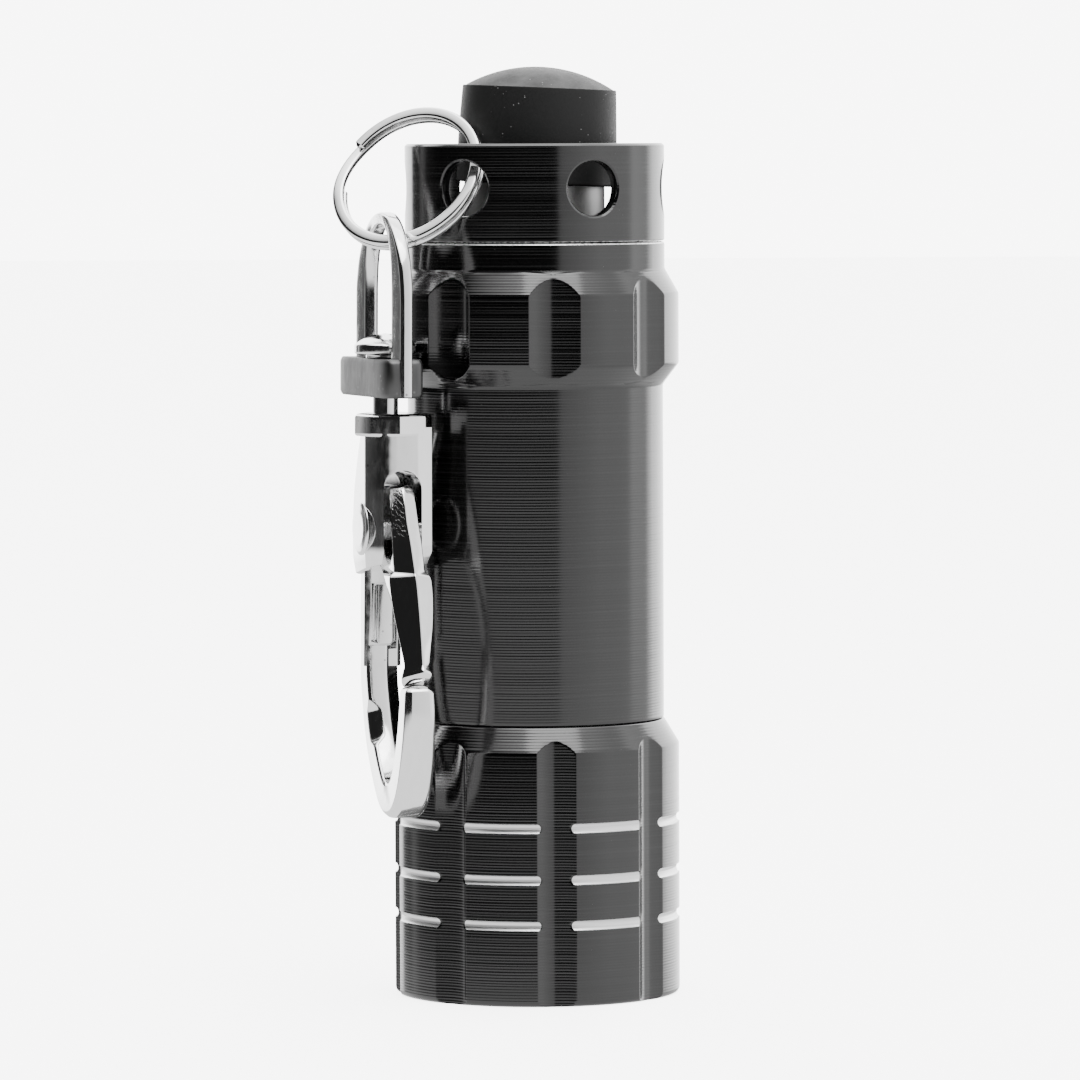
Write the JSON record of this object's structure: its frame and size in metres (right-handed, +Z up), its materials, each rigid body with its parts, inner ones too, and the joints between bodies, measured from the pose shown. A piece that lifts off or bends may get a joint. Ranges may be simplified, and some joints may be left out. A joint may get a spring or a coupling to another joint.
{
  "type": "keychain flashlight",
  "caption": "Small black anodised pocket flashlight standing on its lens end, with a push switch in the tail cap, a split ring and a swivel snap clasp.",
  "frame": {"origin": "centre of the footprint of the whole assembly, clasp included, on the surface it stands on", "axes": "+Z up along the torch body, lens end down and push button up; -Y towards the viewer; the clasp hangs on the -X side"},
  "size_m": [0.0228, 0.0228, 0.0617],
  "materials": {
    "black_anodised": "glossy black anodised, fine turning lines",
    "bright_steel": "nickel-plated, satin",
    "chrome_plate": "bright chrome plate on a die casting",
    "ring_chrome": "bright chrome plate on spring wire",
    "spring_steel": "bare drawn wire",
    "button_rubber": "matte moulded rubber",
    "seal_rubber": "smooth seal rubber",
    "clear_lens": "clear, polished",
    "led_epoxy": "clear epoxy",
    "bright_plastic": "metallised",
    "board_green": "solder resist",
    "white_plastic": "natural moulded",
    "black_plastic": "moulded"
  },
  "bodies": {
    "torch": {"head_shell": "black_anodised", "lens_retaining_ring": "black_anodised", "lens": "clear_lens", "lens_o_ring": "seal_rubber", "reflector": "bright_plastic", "led_1": "led_epoxy", "led_2": "led_epoxy", "led_3": "led_epoxy", "led_board": "board_green", "head_contact_spring": "spring_steel", "barrel": "black_anodised", "battery_sleeve": "white_plastic", "battery_cell_1": "bright_steel", "battery_cell_2": "bright_steel", "battery_cell_3": "bright_steel", "battery_cell_4": "bright_steel"},
    "tail_seal": {"tail_o_ring": "seal_rubber"},
    "tail_cap": {"tail_cap": "black_anodised", "switch_bush": "bright_steel", "switch_spring": "spring_steel", "switch_body": "black_plastic", "switch_contact": "bright_steel", "tail_contact_spring": "spring_steel"},
    "button": {"push_button": "button_rubber", "switch_plunger": "white_plastic"},
    "ring": {"split_ring": "ring_chrome"},
    "bail": {"swivel_bail": "chrome_plate"},
    "hook": {"hook_body": "chrome_plate", "swivel_rivet": "chrome_plate", "gate_pivot_pin": "chrome_plate", "gate_spring": "spring_steel"},
    "gate": {"gate_lever": "chrome_plate"}
  },
  "joints": [
    {"name": "cap_lift", "type": "slide", "parent": "torch", "child": "tail_seal", "axis": [0, 0, 1], "range_m": [0, 0.0015]},
    {"name": "cap_turn", "type": "hinge", "parent": "tail_seal", "child": "tail_cap", "pos_m": [0.00189, 0.00189, 0.0502], "axis": [0, 0, 1], "range_deg": [0, 720]},
    {"name": "button_press", "type": "slide", "parent": "tail_cap", "child": "button", "axis": [0, 0, -1], "range_m": [0, 0.0012], "stiffness_N_per_m": 1500, "springref_m": -0.001, "deforming": ["switch_spring"]},
    {"name": "ring_swing", "type": "hinge", "parent": "tail_cap", "child": "ring", "pos_m": [-0.00218, -0.00409, 0.05489], "axis": [0.1233, 0.5434, 0.8304], "range_deg": [0, 110]},
    {"name": "bail_swing", "type": "hinge", "parent": "ring", "child": "bail", "pos_m": [-0.00789, -0.00453, 0.05015], "axis": [-0.8679, 0.4948, 0.0439], "range_deg": [0, 95]},
    {"name": "swivel_turn", "type": "hinge", "parent": "bail", "child": "hook", "pos_m": [-0.00789, -0.00453, 0.05015], "axis": [0.007, 0, 1], "range_deg": [-12, 34]},
    {"name": "gate_open", "type": "hinge", "parent": "hook", "child": "gate", "pos_m": [-0.00795, -0.00472, 0.0314], "axis": [0.951, 0.309, -0.0066], "range_deg": [0, 22], "stiffness_Nm_per_rad": 0.03, "springref_deg": -11.46}
  ],
  "couplings": [
    {"joint": "cap_lift", "follows": "cap_turn", "m_per_rad": 0.00011936}
  ]
}
